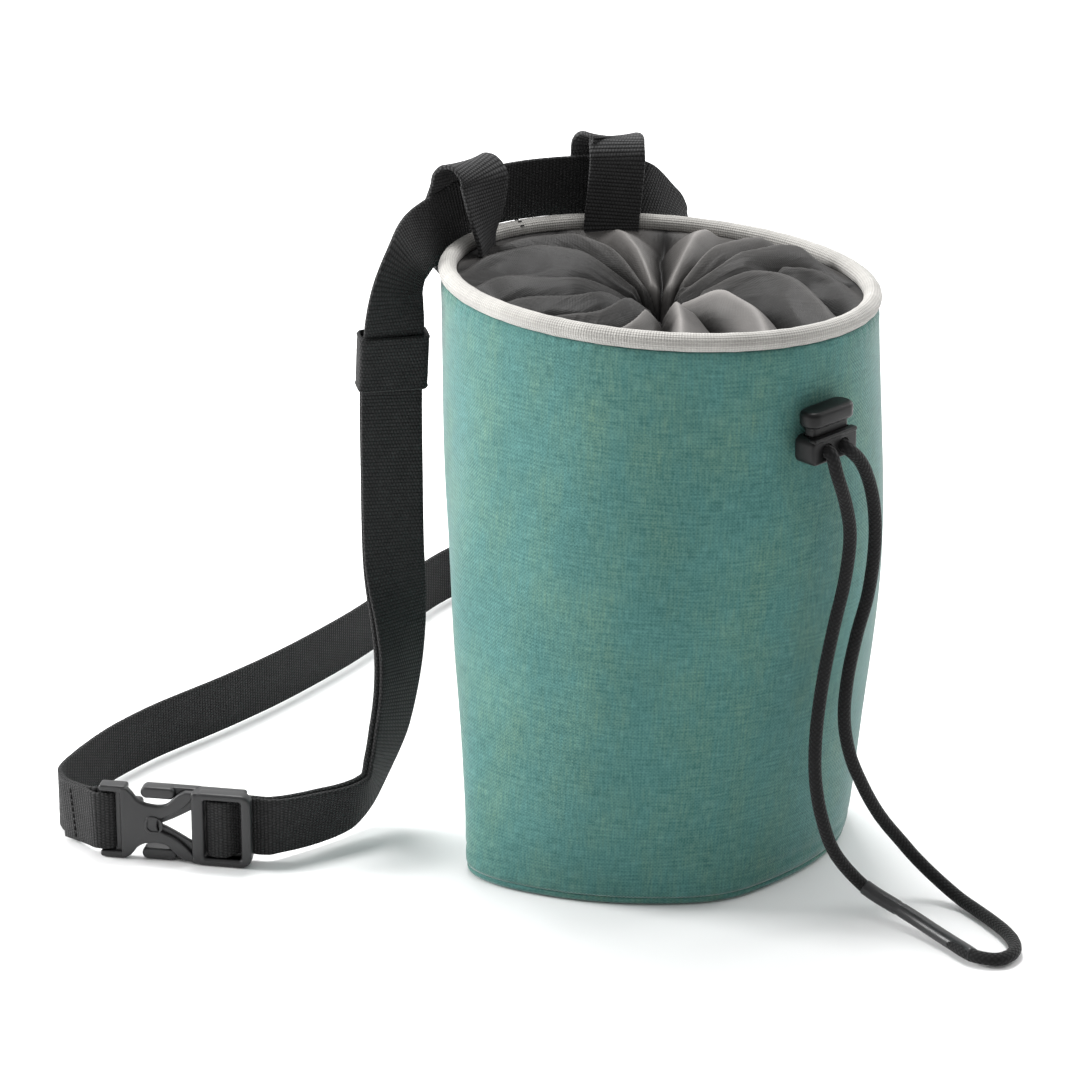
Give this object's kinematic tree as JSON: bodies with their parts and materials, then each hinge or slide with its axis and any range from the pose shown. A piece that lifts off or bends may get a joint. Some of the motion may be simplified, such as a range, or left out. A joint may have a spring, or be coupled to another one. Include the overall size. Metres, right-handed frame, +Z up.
{
  "type": "climbing chalk bag",
  "caption": "Standing chalk bag with a drawn-in fabric mouth, round piped rim, waist belt with side-release buckle and a locked drawcord.",
  "frame": {"origin": "on the floor under the middle of the rim, in the plane of the base", "axes": "+Z up through the mouth, -Y towards the front with the cord lock, +Y towards the wearer, +X to the right seen from the front"},
  "size_m": [0.2361, 0.2895, 0.1891],
  "materials": {
    "woven_fabric": "heathered weave",
    "piping": "matte",
    "nylon": "soft sheen",
    "webbing": "ribbed webbing",
    "plastic": "fine grain",
    "cord": "braided"
  },
  "bodies": {
    "bag": {"side_wall": "woven_fabric", "base_panel": "woven_fabric", "rim_piping": "piping", "closure_sleeve": "nylon", "belt_loop_left": "webbing", "belt_loop_right": "webbing", "belt": "webbing", "strap_keeper": "webbing", "buckle_male": "plastic", "buckle_female": "plastic", "lock_body": "plastic", "drawcord_left": "cord", "drawcord_right": "cord", "cord_joiner": "plastic"},
    "button": {"lock_button": "plastic"}
  },
  "joints": [
    {"name": "button_press", "type": "slide", "parent": "bag", "child": "button", "axis": [0, 0, -1], "range_m": [0, 0.0021], "stiffness_N_per_m": 300, "springref_m": -0.003}
  ]
}
